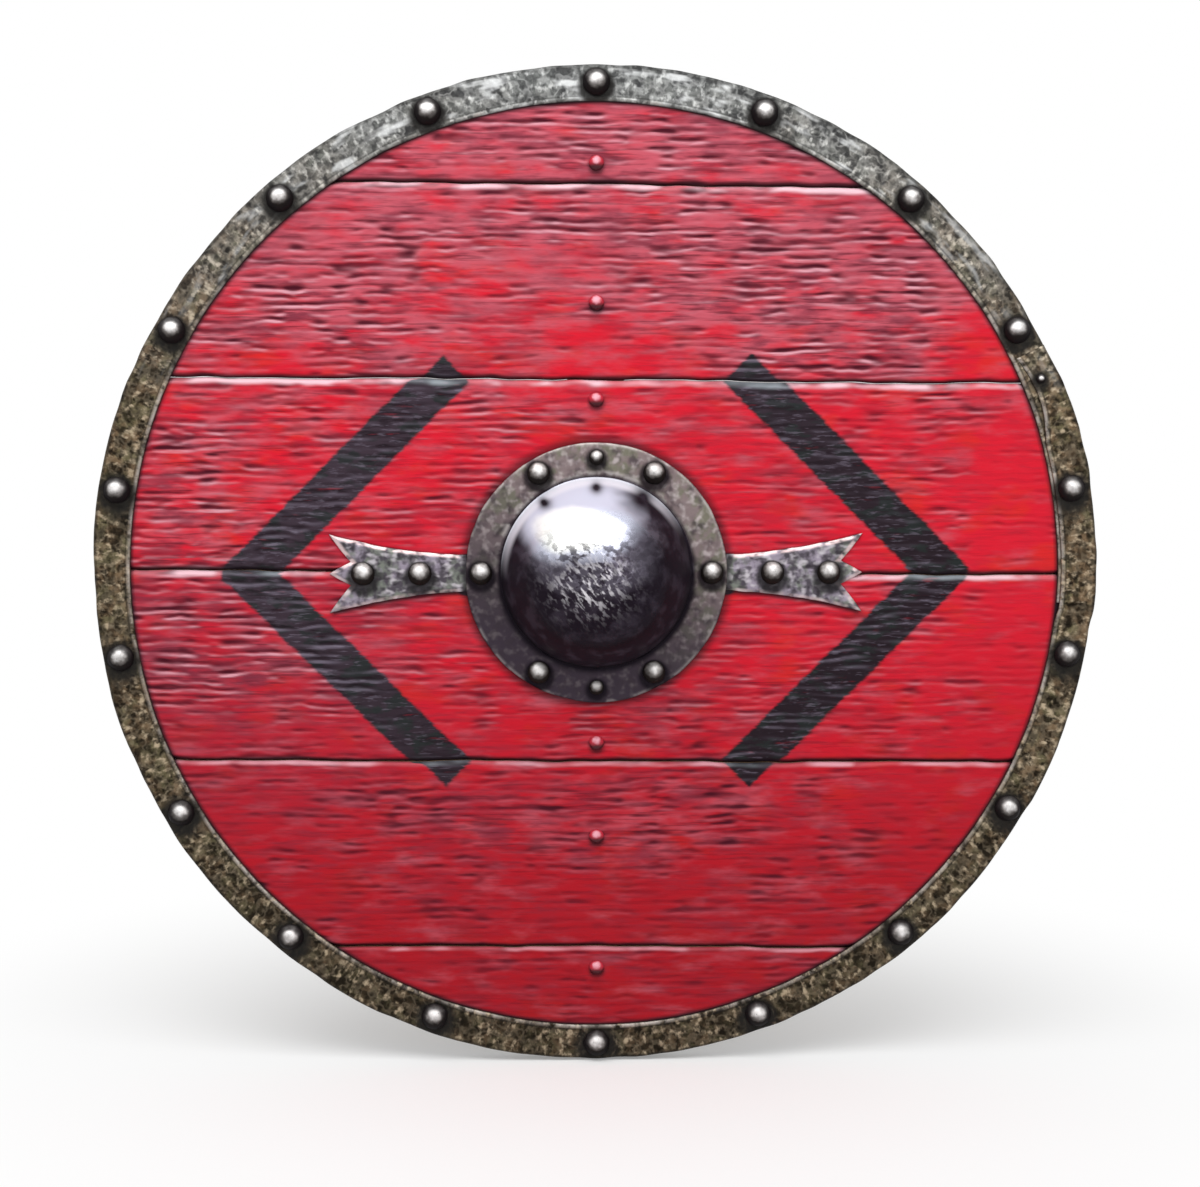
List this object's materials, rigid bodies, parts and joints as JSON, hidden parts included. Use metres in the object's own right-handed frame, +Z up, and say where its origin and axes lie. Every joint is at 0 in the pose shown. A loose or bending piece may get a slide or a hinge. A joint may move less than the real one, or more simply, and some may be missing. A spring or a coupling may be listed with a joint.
{
  "type": "round plank shield",
  "caption": "Round wooden plank shield with a riveted iron rim, a domed iron centre boss with forked side plates, painted chevrons and a wooden hand grip behind the boss.",
  "frame": {"origin": "middle of the hand grip, on the axis of the boss", "axes": "-Y the way the painted face and the boss look, +Y towards the wearer, +Z up along the grip bar, +X to the right as seen from the front"},
  "size_m": [0.6115, 0.086, 0.6098],
  "materials": {
    "painted_boards": "weathered red paint with black chevrons, in deep wood grain",
    "rim_iron": "hammered, tarnished olive brown to grey",
    "boss_iron": "dark, polished, scratched and dented",
    "rivet_iron": "worn satin",
    "painted_nails": "red paint worn off the crowns",
    "bare_wood": "oiled and handled",
    "sleeve_leather": "dark, rubbed, sewn along the back"
  },
  "bodies": {
    "root": {"board_1": "painted_boards", "board_2": "painted_boards", "board_3": "painted_boards", "board_4": "painted_boards", "board_5": "painted_boards", "board_6": "painted_boards", "rim_band": "rim_iron", "rim_joint_nail": "rivet_iron", "rim_rivets": "rivet_iron", "boss": "boss_iron", "boss_rivets": "rivet_iron", "boss_roves": "rim_iron", "boss_nails": "rivet_iron", "arm_left": "rim_iron", "arm_right": "rim_iron", "arm_rivets": "rivet_iron", "arm_roves": "rim_iron", "board_nails": "painted_nails", "grip_bar": "bare_wood", "grip_sleeve": "sleeve_leather"}
  },
  "joints": []
}
